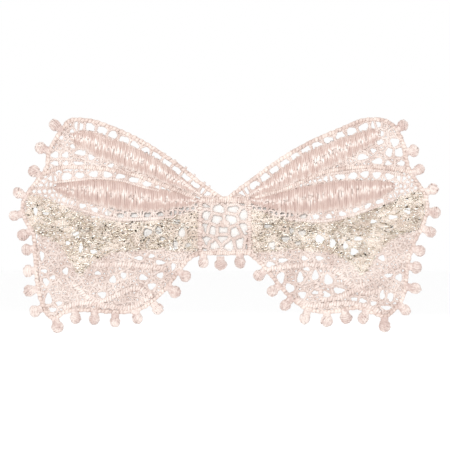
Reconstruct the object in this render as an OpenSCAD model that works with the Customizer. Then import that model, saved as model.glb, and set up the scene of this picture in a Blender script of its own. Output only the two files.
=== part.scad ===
// Lace hair bow on a sprung hair clip.
// The bow stands upright in the XZ plane and faces -Y. The clip lies behind it along X, and the
// origin is the middle of the clip's mouth, where the hair is held.

/* [Lace] */
// Thickness of the padded satin leaves
leaf_t = 1.6; // [1.4:0.1:1.8]
// Thickness of the wrapped cords
cord_t = 1.2; // [1:0.1:1.4]
// Width of the cord round each wing
cord_w = 1.2; // [0.9:0.1:1.4]
// Thickness of the nets and bride ladders
net_t = 0.8; // [0.6:0.1:1]
// Thickness of the metallic thread band
band_t = 1.0; // [0.8:0.1:1.2]
// Diameter of a wound picot
picot_d = 2.8; // [2.4:0.1:3]
// Thickness of a wound picot
picot_t = 1.8; // [1.4:0.1:1.8]

/* [Clip] */
// Width of the clip's top plate
plate_w = 9; // [8.6:0.1:9.6]
// Thickness of the clip's sheet steel
sheet_t = 0.6; // [0.5:0.05:0.7]
// Clear depth of the closed mouth
mouth = 4.6; // [4.6:0.1:5]
// Width of the toothed jaw
jaw_w = 7.4; // [7:0.1:7.4]
// Radius of the hinge pin
pin_r = 0.9; // [0.8:0.05:0.95]
// Running clearance round the hinge pin
pin_play = 0.05; // [0.03:0.01:0.08]
// Wire diameter of the torsion spring
wire_d = 0.6; // [0.5:0.05:0.65]

/* [Linings] */
// Thickness of the ribbon round the top plate
ribbon_t = 0.3; // [0.2:0.05:0.4]
// Width of the ribbon round the top plate
ribbon_w = 10; // [10:0.2:11]
// Thickness of the felt pad
felt_t = 0.8; // [0.6:0.1:1]

/* [Hidden] */

LEFT = 0;
RIGHT = 1;
blush = "#efdcd3";
champagne = "#cdbba6";
seam = 0.01;         // half the hairline left between neighbouring thread runs
steps = 5;           // points along each stretch of a smooth outline

// Depths, from the mouth forwards to the lace
plate_back = -mouth / 2 - ribbon_t;
plate_front = plate_back - sheet_t;
felt_back = plate_front - ribbon_t;
felt_front = felt_back - felt_t;
lace_y = felt_front - leaf_t / 2;

// Knot
knot_x = 6.2;
knot_top = 6.2;
knot_bottom = -6.8;
knot_cord = 1.1;

// Clip, along X
plate_tip = -27;
plate_end = 19;
hinge_x = 9;
ear_r = 2.4;
ear_t = 0.6;
jaw_tip = -25.6;
lever_end = 20;

// Outer edge of each wing, from the top of the knot round to its foot
edge = [
    [[0, 6.5], [-5, 10], [-12, 15.5], [-20, 20.5], [-28, 24], [-32, 25], [-36, 25], [-38, 23], [-40, 20],
     [-41.5, 17], [-42, 13.5], [-45, 9.5], [-47, 6.5], [-47.5, 3.5], [-46.5, 0.5], [-45, -2], [-44.5, -8],
     [-44, -14], [-43, -18], [-41.5, -21], [-39.5, -22], [-37, -20.5], [-33, -20], [-24, -20.5],
     [-19, -19.5], [-14, -15.5], [-10.5, -11], [-8, -8], [-5, -6.5]],
    [[0, 6.5], [6, 11], [13, 16], [20, 20], [27, 23], [32, 25], [37, 25], [40, 23], [42, 19], [43, 14],
     [45, 10.5], [47, 7.5], [47.5, 4], [46.5, 0], [44.5, -4], [43, -9], [42.5, -14], [41.5, -17.5],
     [39, -20.5], [37, -21.5], [34, -20.5], [30.5, -19.5], [24, -20.5], [18.5, -19.5], [14, -16],
     [11, -12.5], [8, -9], [5, -6.5]]];

// Satin leaves
upper_leaf = [
    [[-36, 21], [-33, 22], [-29.5, 21.5], [-23, 19], [-16, 15.5], [-10, 11], [-6, 7.5], [-12, 9.5],
     [-20, 12.5], [-28, 15.5], [-34, 18.5]],
    [[5.5, 7], [11, 11.5], [18, 16.5], [25, 19.5], [31, 21.5], [34.5, 22.5], [36.5, 21], [35, 19.5],
     [30, 16.5], [23, 13], [16, 10], [11, 8]]];
lower_leaf = [
    [[-39.5, 9], [-34, 10.5], [-26, 10.5], [-18, 9], [-11, 7.5], [-6, 6], [-10, 4.5], [-18, 3.5],
     [-25, 4], [-32, 5.5], [-37, 7]],
    [[5.5, 6], [12, 7.5], [20, 9.5], [28, 10.5], [35, 10.5], [39.5, 9.5], [37, 7], [32, 5], [25, 3.5],
     [18, 3], [11, 4]]];

// Vein cord between the leaves, from the side picot inwards
vein = [
    [[-42, 12], [-38, 13.5], [-31, 13.5], [-24, 12.5], [-17, 10.5], [-7, 6.5]],
    [[43.5, 12.5], [37, 13.5], [29, 13.5], [22, 12], [14, 8.5], [7, 6.5]]];
vein_w = 1.1;
vein_inner = [0, 6];     // where both veins would meet, inside the knot
vein_outer_z = 12.5;     // height of their line outside the wings

// Metallic band, which dips to a point below each wing's widest part
band = [
    [[-46, 8], [-40.5, 6], [-36, 4], [-31, 2], [-24, 1], [-17, 1], [-10, 2.5], [-6, 4], [-6, -6],
     [-17, -5.5], [-25, -6], [-30, -8], [-34, -12], [-36, -8], [-39, -4], [-46.5, -0.5]],
    [[6, 4], [13, 2], [20, 1], [27, 1.5], [32, 3], [37, 5], [46, 9], [47.5, 4], [46.5, 0], [39, -3],
     [36, -6], [32, -12], [28, -7.5], [23, -6], [16, -5.5], [6, -6.5]]];

// Lines that divide one net from the next, from outside the wing to the knot
leaf_line = [
    [[-50, 9], [-38, 9], [-22, 6.5], [-8, 5.5], [0, 5.5]],
    [[50, 9.5], [38, 9.5], [30, 8], [18, 6], [8, 5.5], [0, 5.5]]];
band_line = [
    [[-50, 2], [-33, -5], [0, -1]],
    [[50, 2], [32, -5], [0, -1]]];

// Ladders: the line through the openings, and how many there are
top_ladder = [
    [[-34, 23], [-30, 22.5], [-25, 20.5], [-19, 17.5], [-13, 14.5], [-9, 11.5], [-4.5, 8]],
    [[4.5, 8], [9, 11], [14, 14.5], [19, 17.5], [25, 20], [30, 22], [35, 23.5]]];
middle_ladder = [
    [[-40, 11], [-35.5, 11.5], [-30, 12], [-24, 11.5], [-19, 10], [-15, 9]],
    [[24, 11], [28, 11.5], [33, 12], [38, 11.5], [41, 11]]];
lower_ladder = [
    [[-36, 5.5], [-31, 4], [-25, 2.5], [-19, 2.5], [-12, 3]],
    [[39, 7], [34, 5], [28, 3], [22, 2], [15, 2.5]]];
top_openings = [13, 13];
middle_openings = [9, 7];
lower_openings = [9, 9];

// Size of one opening in each ladder: along it and across it
top_opening = [1.9, 1.5];
middle_opening = [1.9, 1.2];
lower_opening = [1.3, 0.9];

// Single openings: middle, width and height
corner_openings = [
    [[-39.5, 16.5, 2, 1.5], [-37, 16.5, 1.5, 1.5], [-33.5, 17, 2, 1], [-37, 15, 1.5, 1],
     [-39.5, 14.5, 1.5, 1], [-38, 20.5, 1, 1]],
    [[39.5, 19.5, 1.5, 1.5], [36.5, 19, 1.5, 1.5], [38, 16.5, 1.5, 2], [40.5, 16.5, 1.5, 2],
     [35, 15, 2, 1], [38, 14.5, 1.5, 1], [40.5, 14.5, 1.5, 1]]];
band_openings = [
    [[-18, -1.5, 2, 2], [-15.5, -1, 1.5, 2], [-10, -1.5, 1.5, 2], [-11.5, -4, 1, 2], [-34.5, -2, 1.5, 1.5],
     [-33.5, -5, 1, 2.5], [-44, 3.5, 1, 2]],
    [[10, 0, 1.5, 1], [15.5, -1, 1.5, 1.5], [18, -1.5, 1.5, 1.5], [14, -3.5, 2, 1.5], [11, -4, 1.5, 2],
     [21.5, -3, 2, 1.5], [25, -4, 1.5, 2], [28, -4.5, 1, 2], [31, -3, 1.5, 1.5], [39, 2, 2, 1]]];
net_openings = [
    [[-42.5, -7, 1, 2], [-42, -10.5, 1.5, 1.5], [-41.5, -13.5, 1.5, 2], [-37, -10.5, 1.5, 1.5],
     [-41, -17, 1.5, 2], [-38.5, -18, 1.5, 1], [-28.5, -15.5, 2, 1.5], [-26, -12.5, 1.5, 2],
     [-23.5, -11.5, 1.5, 1.5], [-19, -12, 2, 1.5], [-17, -14.5, 2, 1.5], [-14.5, -11.5, 1.5, 1.5],
     [-20, -7.5, 2, 1], [-15.5, -8.5, 2, 1], [-12, -9, 1, 1.5]],
    [[10.5, -8.5, 1.5, 1.5], [13.5, -8, 2, 1], [18.5, -7.5, 1.5, 1], [22, -7.5, 2, 1],
     [13, -11.5, 2, 2], [15.5, -14.5, 2, 2], [17.5, -11.5, 1.5, 2.5], [20.5, -11.5, 1.5, 2.5],
     [24, -12.5, 2, 2.5], [26.5, -15.5, 2, 1.5], [22.5, -15.5, 1.5, 1.5], [19, -16, 2, 1.5],
     [32, -17.5, 2, 1], [38.5, -16.5, 1.5, 2], [40.5, -12, 1.5, 2], [36.5, -7.5, 1.5, 1.5]]];
knot_openings = [[-1.5, 4, 2, 1], [2, 4, 2, 1], [-4, 2.5, 1, 2.5], [-2, 1.5, 1.5, 1.5], [1.5, 2, 2, 1.5],
    [4, 2.5, 1, 2.5], [-4.5, -0.5, 1, 2], [-2.5, -1, 1.5, 2], [2.5, -1, 1.5, 2], [4.5, -0.5, 1, 2],
    [-4, -3.5, 1, 1], [-2, -4.5, 1.5, 1.5], [1, -4.5, 1.5, 1.5], [3.5, -4, 1.5, 2]];

// Picots: each run's count, and where it begins and ends along the edge, from the top of the knot
picot_runs = [
    [[3, 45, 56.5], [8, 62.5, 94.5], [7, 99.5, 128]],
    [[3, 46.5, 57.5], [8, 62.5, 95], [7, 100, 127.5]]];
picot_out = 1.5;         // from the edge to the middle of the bobble
knot_picot_places = [[-5, -8.5], [-1, -9], [3.5, -8.5]];

// ---- Curves ----

function spline(a, b, c, d, t) =
    0.5 * (2 * b + (c - a) * t + (2 * a - 5 * b + 4 * c - d) * t * t + (3 * b - a - 3 * c + d) * t * t * t);

// Smooth open curve through the points p
function curve(p) = concat(
    [for (i = [0 : len(p) - 2]) for (s = [0 : steps - 1])
        spline(p[max(i - 1, 0)], p[i], p[i + 1], p[min(i + 2, len(p) - 1)], s / steps)],
    [p[len(p) - 1]]);

// Smooth closed curve through the points p
function ring(p) = let (n = len(p))
    [for (i = [0 : n - 1]) for (s = [0 : steps - 1])
        spline(p[(i + n - 1) % n], p[i], p[(i + 1) % n], p[(i + 2) % n], s / steps)];

// Direction of a curve at its point i
function heading(c, i) = let (d = c[min(i + 1, len(c) - 1)] - c[max(i - 1, 0)]) atan2(d.y, d.x);

// Distance along the curve c to its point i
function distance_to(c, i) = i == 0 ? 0 : distance_to(c, i - 1) + norm(c[i] - c[i - 1]);

// Distance along the curve c to each of its points
function distances(c) = [for (i = [0 : len(c) - 1]) distance_to(c, i)];

// The place at distance s along the curve c, where d is distances(c)
function along(c, d, s) = [for (k = [0, 1]) lookup(s, [for (i = [0 : len(c) - 1]) [d[i], c[i][k]]])];

// A strip of width w along the curve c
function strip(c, w) = concat(
    [for (i = [0 : len(c) - 1]) c[i] + w / 2 * [-sin(heading(c, i)), cos(heading(c, i))]],
    [for (i = [len(c) - 1 : -1 : 0]) c[i] - w / 2 * [-sin(heading(c, i)), cos(heading(c, i))]]);

// ---- Flat shapes of the lace, drawn in X and Z ----

// One run of thread work of thickness t, laid on the middle plane of the lace
module thread_run(t) {
    translate([0, lace_y + t / 2, 0])
        rotate([90, 0, 0])
            linear_extrude(t)
                offset(delta = -seam)
                    children();
}

module wing(w) {
    polygon(curve(edge[w]));
}

module inside_cord(w) {
    difference() {
        offset(delta = -cord_w)
            wing(w);
        knot_block();
    }
}

module knot_block() {
    translate([-knot_x, knot_bottom])
        square([2 * knot_x, knot_top - knot_bottom]);
}

module leaves(w) {
    polygon(ring(upper_leaf[w]));
    polygon(ring(lower_leaf[w]));
}

module vein_strip(w) {
    polygon(strip(curve(vein[w]), vein_w));
}

module band_shape(w) {
    polygon(band[w]);
}

// The vein's line, carried on to the knot and past the wing's edge
function vein_line(w) = concat([[vein[w][0].x * 1.2, vein_outer_z]], vein[w], [vein_inner]);

// Everything on the far side of a dividing line: above is 1 for the upper side, -1 for the lower
module beyond(line, above) {
    far = line[0].x;
    polygon(concat(line, [[0, above * 40], [far, above * 40]]));
}

module oval_openings(list) {
    for (o = list)
        translate([o[0], o[1]])
            resize([o[2], o[3]])
                circle(d = 1, $fn = 10);
}

// Evenly spaced openings along a line
module ladder_openings(line, count, size) {
    c = curve(line);
    d = distances(c);
    gap = d[len(c) - 1] / (count - 1);
    for (i = [0 : count - 1]) {
        ahead = along(c, d, (i + 0.2) * gap) - along(c, d, (i - 0.2) * gap);
        translate(along(c, d, i * gap))
            rotate(atan2(ahead.y, ahead.x))
                square(size, center = true);
    }
}

// ---- Lace: the wings ----

module edge_cord(w) {
    color(blush)
        thread_run(cord_t)
            difference() {
                wing(w);
                offset(delta = -cord_w)
                    wing(w);
                knot_block();
            }
}

module upper_net(w) {
    color(blush)
        thread_run(net_t)
            difference() {
                intersection() {
                    inside_cord(w);
                    beyond(vein_line(w), 1);
                }
                leaves(w);
                vein_strip(w);
                ladder_openings(top_ladder[w], top_openings[w], top_opening);
                oval_openings(corner_openings[w]);
            }
}

module satin_leaf(w, outline) {
    color(blush)
        thread_run(leaf_t)
            intersection() {
                inside_cord(w);
                polygon(ring(outline[w]));
            }
}

module vein_cord(w) {
    color(blush)
        thread_run(cord_t)
            difference() {
                intersection() {
                    inside_cord(w);
                    vein_strip(w);
                }
                leaves(w);
            }
}

module between_leaves(w) {
    color(blush)
        thread_run(net_t)
            difference() {
                intersection() {
                    inside_cord(w);
                    beyond(vein_line(w), -1);
                    beyond(leaf_line[w], 1);
                }
                leaves(w);
                vein_strip(w);
                band_shape(w);
                ladder_openings(middle_ladder[w], middle_openings[w], middle_opening);
            }
}

module below_leaves(w) {
    color(blush)
        thread_run(net_t)
            difference() {
                intersection() {
                    inside_cord(w);
                    beyond(leaf_line[w], -1);
                    beyond(band_line[w], 1);
                }
                leaves(w);
                band_shape(w);
                ladder_openings(lower_ladder[w], lower_openings[w], lower_opening);
            }
}

module metallic_band(w) {
    color(champagne)
        thread_run(band_t)
            difference() {
                intersection() {
                    inside_cord(w);
                    band_shape(w);
                }
                leaves(w);
                oval_openings(band_openings[w]);
            }
}

module lower_net(w) {
    color(blush)
        thread_run(net_t)
            difference() {
                intersection() {
                    inside_cord(w);
                    beyond(band_line[w], -1);
                }
                band_shape(w);
                oval_openings(net_openings[w]);
            }
}

// One bobble with its neck towards its root on the lace
module picot(place, root) {
    neck_w = picot_d / 2.5;
    neck = norm(root - place) + cord_w / 2;
    translate(place)
        circle(d = picot_d, $fn = 16);
    translate(place)
        rotate(atan2(root.y - place.y, root.x - place.x))
            translate([0, -neck_w / 2])
                square([neck, neck_w]);
}

module wing_picots(w) {
    color(blush)
        thread_run(picot_t)
            difference() {
                picots_round(w);
                wing(w);
                knot_block();
            }
}

// Every bobble of a wing, standing square to its edge
module picots_round(w) {
    c = curve(edge[w]);
    d = distances(c);
    outwards = w == LEFT ? 1 : -1;
    for (run = picot_runs[w])
        for (i = [0 : run[0] - 1]) {
            s = run[1] + (run[2] - run[1]) * i / (run[0] - 1);
            root = along(c, d, s);
            ahead = along(c, d, s + 1) - along(c, d, s - 1);
            picot(root + outwards * picot_out * [ahead.y, -ahead.x] / norm(ahead), root);
        }
}

// ---- Lace: the knot ----

module knot_frame() {
    color(blush)
        thread_run(cord_t)
            difference() {
                knot_block();
                offset(delta = -knot_cord)
                    knot_block();
            }
}

module knot_net() {
    color(blush)
        thread_run(net_t)
            difference() {
                offset(delta = -knot_cord)
                    knot_block();
                oval_openings(knot_openings);
            }
}

module knot_picots() {
    color(blush)
        thread_run(picot_t)
            difference() {
                for (p = knot_picot_places)
                    picot(p, [p.x, knot_bottom]);
                knot_block();
                wing(LEFT);
                wing(RIGHT);
            }
}

// ---- Backing ----

felt_x = 12;
felt_z = 5.6;
corner_r = 2;

// A flat rectangle from x0 to x1 and w wide, with corners of radius r
module rounded_plate(x0, x1, w, r) {
    union() {
        translate([x0 + r, -w / 2])
            square([x1 - x0 - 2 * r, w]);
        translate([x0, r - w / 2])
            square([x1 - x0, w - 2 * r]);
        for (x = [x0 + r, x1 - r], z = [r - w / 2, w / 2 - r])
            translate([x, z])
                circle(r = r, $fn = 48);
    }
}

module felt_pad() {
    color("#fbfaf8")
        translate([0, felt_back, 0])
            rotate([90, 0, 0])
                linear_extrude(felt_t)
                    rounded_plate(-felt_x, felt_x, 2 * felt_z, corner_r);
}

// Short bars of thread that hold the knot's side cords to the felt
stitch_gap = (leaf_t - cord_t) / 2;

module tacking_stitches() {
    color(blush)
        for (x = [-1, 1], z = [-4, -1.3, 1.4, 4.1])
            translate([x * (knot_x - knot_cord / 2), felt_front, z])
                rotate([90, 0, 0])
                    cylinder(d = 0.6, h = stitch_gap, $fn = 32);
}

module ribbon_lining() {
    color("#fbfaf8")
        translate([0, 0, -ribbon_w / 2])
            linear_extrude(ribbon_w)
                polygon([[plate_end, felt_back], [plate_tip - ribbon_t, felt_back],
                    [plate_tip - ribbon_t, -mouth / 2], [hinge_x - ear_r - 1, -mouth / 2],
                    [hinge_x - ear_r - 1, plate_back], [plate_tip, plate_back],
                    [plate_tip, plate_front], [plate_end, plate_front]]);
}

// ---- Clip ----

module ear(r, reach, z) {
    translate([hinge_x, 0, z])
        linear_extrude(ear_t)
            union() {
                circle(r = r, $fn = 64);
                translate([-r, min(0, reach)])
                    square([2 * r, abs(reach)]);
            }
}

module upper_jaw() {
    color("#c9cbcd")
        difference() {
            union() {
                translate([0, plate_back, 0])
                    rotate([90, 0, 0])
                        linear_extrude(sheet_t)
                            rounded_plate(plate_tip, plate_end, plate_w, corner_r);
                for (z = [-plate_w / 2, plate_w / 2 - ear_t])
                    ear(ear_r, plate_back, z);
            }
            translate([hinge_x, 0, -plate_w])
                cylinder(r = pin_r, h = 2 * plate_w, $fn = 64);
        }
}

// Middle line of the toothed jaw: thumb lever, flat back, and the bow down to the tip
jaw_y = mouth / 2 + sheet_t / 2;
bow_x = -15;
tip_y = -2;
lever_y = 7;
jaw_line = concat(
    [[lever_end, lever_y], [hinge_x + 0.4, jaw_y], [hinge_x - 1, jaw_y]],
    [for (t = [0 : 0.125 : 1]) [bow_x + (jaw_tip - bow_x) * t, jaw_y + (tip_y - jaw_y) * t * t]]);
inner_ear_r = 2;
lever_r = 2.6;
notches = 4;
notch_pitch = jaw_w / 5;

module lower_jaw() {
    color("#c9cbcd")
        difference() {
            union() {
                intersection() {
                    translate([0, 0, -jaw_w / 2])
                        linear_extrude(jaw_w)
                            polygon(strip(jaw_line, sheet_t));
                    translate([0, 20, 0])
                        rotate([90, 0, 0])
                            linear_extrude(40)
                                rounded_plate(jaw_tip - 5, lever_end, jaw_w, lever_r);
                }
                for (z = [-jaw_w / 2, jaw_w / 2 - ear_t])
                    ear(inner_ear_r, jaw_y, z);
            }
            translate([hinge_x, 0, -jaw_w])
                cylinder(r = pin_r + pin_play, h = 2 * jaw_w, $fn = 64);
            for (i = [0 : notches - 1])
                translate([jaw_tip, 0, (i - (notches - 1) / 2) * notch_pitch])
                    rotate([0, 45, 0])
                        cube([0.9, 8, 0.9], center = true);
        }
}

// The pin's two rivet heads lie outside the ears
head_r = 1.4;
head_t = 0.35;

module hinge_pin() {
    color("#b9bbbd")
        translate([hinge_x, 0, 0])
            union() {
                cylinder(r = pin_r, h = plate_w, center = true, $fn = 64);
                for (z = [-plate_w / 2 - head_t, plate_w / 2])
                    translate([0, 0, z])
                        cylinder(r = head_r, h = head_t, $fn = 64);
            }
}

coil_w = 4.6;
coil_r = pin_r + pin_play + 0.1 + wire_d;
leg_r = coil_r - wire_d / 2 - 0.04;

// A spring leg that leaves the coil at its rim and reaches the point [x, y]
module spring_leg(x, y, side, z) {
    reach = sqrt(x * x + y * y - leg_r * leg_r);
    lean = atan2(y, x) - side * atan2(leg_r, reach);
    translate([hinge_x, 0, z])
        rotate([0, 0, lean])
            translate([0, side * leg_r, 0])
                rotate([0, 90, 0])
                    cylinder(d = wire_d, h = reach, $fn = 32);
}

module torsion_spring() {
    color("#9a9c9e")
        union() {
            difference() {
                translate([hinge_x, 0, -coil_w / 2])
                    cylinder(r = coil_r, h = coil_w, $fn = 64);
                translate([hinge_x, 0, -coil_w])
                    cylinder(r = coil_r - wire_d, h = 2 * coil_w, $fn = 64);
            }
            spring_leg(8, plate_back + wire_d / 2 + 0.02, -1, wire_d / 2 - coil_w / 2);
            spring_leg(8, 5, 1, coil_w / 2 - wire_d / 2);
        }
}

edge_cord(LEFT);  // left_edge_cord
upper_net(LEFT);  // left_upper_net
satin_leaf(LEFT, upper_leaf);  // left_upper_leaf
vein_cord(LEFT);  // left_vein_cord
between_leaves(LEFT);  // left_middle_ladder
satin_leaf(LEFT, lower_leaf);  // left_lower_leaf
below_leaves(LEFT);  // left_lower_ladder
metallic_band(LEFT);  // left_metallic_band
lower_net(LEFT);  // left_lower_net
wing_picots(LEFT);  // left_picots
edge_cord(RIGHT);  // right_edge_cord
upper_net(RIGHT);  // right_upper_net
satin_leaf(RIGHT, upper_leaf);  // right_upper_leaf
vein_cord(RIGHT);  // right_vein_cord
between_leaves(RIGHT);  // right_middle_ladder
satin_leaf(RIGHT, lower_leaf);  // right_lower_leaf
below_leaves(RIGHT);  // right_lower_ladder
metallic_band(RIGHT);  // right_metallic_band
lower_net(RIGHT);  // right_lower_net
wing_picots(RIGHT);  // right_picots
knot_net();
knot_frame();
knot_picots();
tacking_stitches();
felt_pad();
ribbon_lining();
upper_jaw();
lower_jaw();
hinge_pin();
torsion_spring();
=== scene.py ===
import math

import bpy
import numpy as np
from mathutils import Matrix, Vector, geometry


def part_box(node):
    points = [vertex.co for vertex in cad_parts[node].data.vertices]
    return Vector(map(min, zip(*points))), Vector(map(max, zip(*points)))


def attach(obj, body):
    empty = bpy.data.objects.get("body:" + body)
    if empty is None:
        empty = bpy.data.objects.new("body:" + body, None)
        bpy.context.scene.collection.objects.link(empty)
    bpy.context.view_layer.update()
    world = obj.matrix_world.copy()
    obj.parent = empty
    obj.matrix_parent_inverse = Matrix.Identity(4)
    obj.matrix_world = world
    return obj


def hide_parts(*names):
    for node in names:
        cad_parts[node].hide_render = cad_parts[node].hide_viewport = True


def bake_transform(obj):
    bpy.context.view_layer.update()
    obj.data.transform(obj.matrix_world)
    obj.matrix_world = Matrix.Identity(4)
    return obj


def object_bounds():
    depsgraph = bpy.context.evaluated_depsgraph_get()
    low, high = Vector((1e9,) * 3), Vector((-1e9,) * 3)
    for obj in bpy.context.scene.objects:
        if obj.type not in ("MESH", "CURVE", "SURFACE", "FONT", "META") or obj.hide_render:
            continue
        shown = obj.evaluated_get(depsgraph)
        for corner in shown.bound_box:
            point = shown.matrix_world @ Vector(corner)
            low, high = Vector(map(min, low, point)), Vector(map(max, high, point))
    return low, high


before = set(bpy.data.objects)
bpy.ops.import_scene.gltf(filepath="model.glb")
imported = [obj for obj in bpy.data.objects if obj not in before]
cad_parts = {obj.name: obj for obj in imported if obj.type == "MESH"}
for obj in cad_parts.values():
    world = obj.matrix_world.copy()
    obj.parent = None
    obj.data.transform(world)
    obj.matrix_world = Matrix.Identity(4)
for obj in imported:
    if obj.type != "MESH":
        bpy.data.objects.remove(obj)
cad_low, cad_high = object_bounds()

# Lace is laid out flat in millimetres, as x and z, with y as the depth from its middle plane.
MM = 0.001
TAU = 2 * math.pi
random = np.random.RandomState(11)
LACE_Y = sum(c[1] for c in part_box("left_upper_leaf")) / 2 / MM


# ---- Camera, light and floor ----

FRAME_WIDTH = 1.039 * (cad_high.x - cad_low.x)    # the bow fills nearly the whole width of the picture
CAMERA_DISTANCE = 0.7
SENSOR = 36.0           # in millimetres, unlike the other sizes here
FLOOR_HALF = 3.0
FLOOR_GAP = 0.031       # from the foot of the bow down to the floor


def add_object(name, data):
    obj = bpy.data.objects.new(name, data)
    bpy.context.scene.collection.objects.link(obj)
    return obj


def add_camera():
    data = bpy.data.cameras.new("camera")
    data.sensor_width = SENSOR
    data.lens = SENSOR * CAMERA_DISTANCE / FRAME_WIDTH
    data.clip_end = 20
    camera = add_object("camera", data)
    middle = (cad_low + cad_high) / 2
    camera.location = (middle.x, LACE_Y * MM - CAMERA_DISTANCE, middle.z)
    camera.rotation_euler = (math.pi / 2, 0, 0)
    bpy.context.scene.camera = camera


def add_area_light(name, place, size, power):
    """A square light that looks at the origin."""
    data = bpy.data.lights.new(name, "AREA")
    data.size = size
    data.energy = power
    light = add_object(name, data)
    light.location = place
    light.rotation_euler = (-Vector(place)).to_track_quat("-Z", "Y").to_euler()


def add_stage():
    world = bpy.data.worlds.new("studio")
    world.use_nodes = True
    background = world.node_tree.nodes["Background"]
    background.inputs["Color"].default_value = (1, 1, 1, 1)
    background.inputs["Strength"].default_value = 1.0
    bpy.context.scene.world = world
    bpy.context.scene.view_settings.view_transform = "Standard"
    add_area_light("back_fill", (0.35, 0.85, 0.45), 0.4, 1.6)
    add_area_light("front", (-0.1, -0.95, 0.16), 0.06, 3.7)

    depth = cad_low.z - FLOOR_GAP
    corners = [(x * FLOOR_HALF, y * FLOOR_HALF, depth) for x, y in ((-1, -1), (1, -1), (1, 1), (-1, 1))]
    mesh = bpy.data.meshes.new("floor")
    mesh.from_pydata(corners, [], [(0, 1, 2, 3)])
    material, *_ = node_material("floor", 1.0, Base_Color=(0.98, 0.98, 0.98, 1))
    mesh.materials.append(material)
    floor = add_object("floor", mesh)


# ---- Layout of the lace, in millimetres ----

LEFT, RIGHT = "left", "right"
KNOT_X, KNOT_TOP, KNOT_BOTTOM = 6.2, 6.2, -6.8
CORD_W, CORD_T = 1.0, 1.2   # the edge cord is wound a little narrower than its CAD solid
LEAF_T = 1.6
PICOT_D = 2.8

# Outer edge of each wing, from the top of the knot round to its foot
EDGE = {
    LEFT: [(0, 6.5), (-5, 10), (-12, 15.5), (-20, 20.5), (-28, 24), (-32, 25), (-36, 25), (-38, 23),
           (-40, 20), (-41.5, 17), (-42, 13.5), (-45, 9.5), (-47, 6.5), (-47.5, 3.5), (-46.5, 0.5),
           (-45, -2), (-44.5, -8), (-44, -14), (-43, -18), (-41.5, -21), (-39.5, -22), (-37, -20.5),
           (-33, -20), (-24, -20.5), (-19, -19.5), (-14, -15.5), (-10.5, -11), (-8, -8), (-5, -6.5)],
    RIGHT: [(0, 6.5), (6, 11), (13, 16), (20, 20), (27, 23), (32, 25), (37, 25), (40, 23), (42, 19),
            (43, 14), (45, 10.5), (47, 7.5), (47.5, 4), (46.5, 0), (44.5, -4), (43, -9), (42.5, -14),
            (41.5, -17.5), (39, -20.5), (37, -21.5), (34, -20.5), (30.5, -19.5), (24, -20.5),
            (18.5, -19.5), (14, -16), (11, -12.5), (8, -9), (5, -6.5)]}

# Outlines of the satin leaves
UPPER_LEAF = {
    LEFT: [(-36, 21), (-33, 22), (-29.5, 21.5), (-23, 19), (-16, 15.5), (-10, 11), (-6, 7.5), (-12, 9.5),
           (-20, 12.5), (-28, 15.5), (-34, 18.5)],
    RIGHT: [(5.5, 7), (11, 11.5), (18, 16.5), (25, 19.5), (31, 21.5), (34.5, 22.5), (36.5, 21),
            (35, 19.5), (30, 16.5), (23, 13), (16, 10), (11, 8)]}
LOWER_LEAF = {
    LEFT: [(-39.5, 9), (-34, 10.5), (-26, 10.5), (-18, 9), (-11, 7.5), (-6, 6), (-10, 4.5), (-18, 3.5),
           (-25, 4), (-32, 5.5), (-37, 7)],
    RIGHT: [(5.5, 6), (12, 7.5), (20, 9.5), (28, 10.5), (35, 10.5), (39.5, 9.5), (37, 7), (32, 5),
            (25, 3.5), (18, 3), (11, 4)]}
# The cord between the leaves, from the side picot inwards
VEIN = {
    LEFT: [(-42, 12), (-38, 13.5), (-31, 13.5), (-24, 12.5), (-17, 10.5), (-7, 6.5)],
    RIGHT: [(43.5, 12.5), (37, 13.5), (29, 13.5), (22, 12), (14, 8.5), (7, 6.5)]}
# Outline of the metallic band
BAND = {
    LEFT: [(-46, 8), (-40.5, 6), (-36, 4), (-31, 2), (-24, 1), (-17, 1), (-10, 2.5), (-6, 4), (-6, -6),
           (-17, -5.5), (-25, -6), (-30, -8), (-34, -12), (-36, -8), (-39, -4), (-46.5, -0.5)],
    RIGHT: [(6, 4), (13, 2), (20, 1), (27, 1.5), (32, 3), (37, 5), (46, 9), (47.5, 4), (46.5, 0),
            (39, -3), (36, -6), (32, -12), (28, -7.5), (23, -6), (16, -5.5), (6, -6.5)]}
# Lines that divide one net from the next, from outside the wing to the knot
LEAF_LINE = {
    LEFT: [(-50, 9), (-38, 9), (-22, 6.5), (-8, 5.5), (0, 5.5)],
    RIGHT: [(50, 9.5), (38, 9.5), (30, 8), (18, 6), (8, 5.5), (0, 5.5)]}
BAND_LINE = {
    LEFT: [(-50, 2), (-33, -5), (0, -1)],
    RIGHT: [(50, 2), (32, -5), (0, -1)]}

# Ladders: the line through the openings, and how many there are
TOP_LADDER = {
    LEFT: [(-34, 23), (-30, 22.5), (-25, 20.5), (-19, 17.5), (-13, 14.5), (-9, 11.5), (-4.5, 8)],
    RIGHT: [(4.5, 8), (9, 11), (14, 14.5), (19, 17.5), (25, 20), (30, 22), (35, 23.5)]}
MIDDLE_LADDER = {
    LEFT: [(-40, 11), (-35.5, 11.5), (-30, 12), (-24, 11.5), (-19, 10), (-15, 9)],
    RIGHT: [(24, 11), (28, 11.5), (33, 12), (38, 11.5), (41, 11)]}
LOWER_LADDER = {
    LEFT: [(-36, 5.5), (-31, 4), (-25, 2.5), (-19, 2.5), (-12, 3)],
    RIGHT: [(39, 7), (34, 5), (28, 3), (22, 2), (15, 2.5)]}
TOP_COUNT = 13
MIDDLE_COUNT = {LEFT: 9, RIGHT: 7}
LOWER_COUNT = 9

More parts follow.
